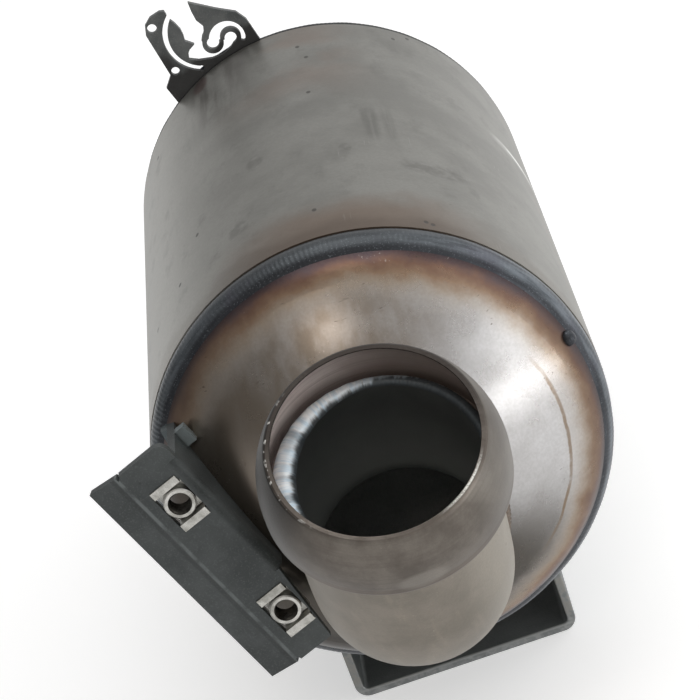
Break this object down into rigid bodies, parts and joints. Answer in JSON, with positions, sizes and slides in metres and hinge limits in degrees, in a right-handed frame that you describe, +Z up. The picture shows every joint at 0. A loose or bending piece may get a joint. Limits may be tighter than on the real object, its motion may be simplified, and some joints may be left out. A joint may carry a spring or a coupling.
{
  "type": "diesel particulate filter",
  "caption": "Diesel particulate filter: a round stainless can with a domed front, a bent inlet pipe with a ball collar, welded sheet brackets and a segmented ceramic block inside.",
  "frame": {"origin": "middle of the lower bracket's underside, where the part is set down on its carrier", "axes": "+Z up, away from the lower bracket; +Y along the can from the inlet to the outlet; +X to the right seen from the inlet, away from the side bracket"},
  "size_m": [0.1678, 0.4813, 0.2048],
  "materials": {
    "stainless_sheet": "satin, lightly soiled",
    "heat_tinted_sheet": "satin, brown and gold heat tint",
    "weld_bead": "rippled, blue-grey oxide",
    "bright_weld": "rough, bright",
    "slate_sheet": "dull heat scale",
    "dark_sheet": "dull dark heat scale",
    "zinc_plate": "dull zinc",
    "silicon_carbide": "matt, porous, sooted",
    "segment_cement": "matt",
    "fibre_mat": "felted fibre",
    "wire_mesh": "pressed knitted wire"
  },
  "bodies": {
    "root": {"can_shell": "stainless_sheet", "inlet_elbow": "stainless_sheet", "rear_cone": "stainless_sheet", "outlet_pipe": "stainless_sheet", "front_cone": "heat_tinted_sheet", "ball_collar": "heat_tinted_sheet", "shell_seam_weld": "weld_bead", "front_ring_weld": "weld_bead", "elbow_root_weld": "weld_bead", "rear_ring_weld": "weld_bead", "outlet_root_weld": "weld_bead", "side_bracket_weld": "weld_bead", "lower_bracket_welds": "weld_bead", "holder_bracket_weld": "weld_bead", "collar_inner_weld": "bright_weld", "side_bracket": "slate_sheet", "holder_bracket": "slate_sheet", "lower_bracket": "dark_sheet", "upper_nut_cage": "zinc_plate", "upper_cage_nut": "zinc_plate", "lower_nut_cage": "zinc_plate", "lower_cage_nut": "zinc_plate", "core_segments": "silicon_carbide", "edge_segments": "silicon_carbide", "segment_cement": "segment_cement", "support_mat": "fibre_mat", "front_mesh_ring": "wire_mesh", "rear_mesh_ring": "wire_mesh"}
  },
  "joints": []
}
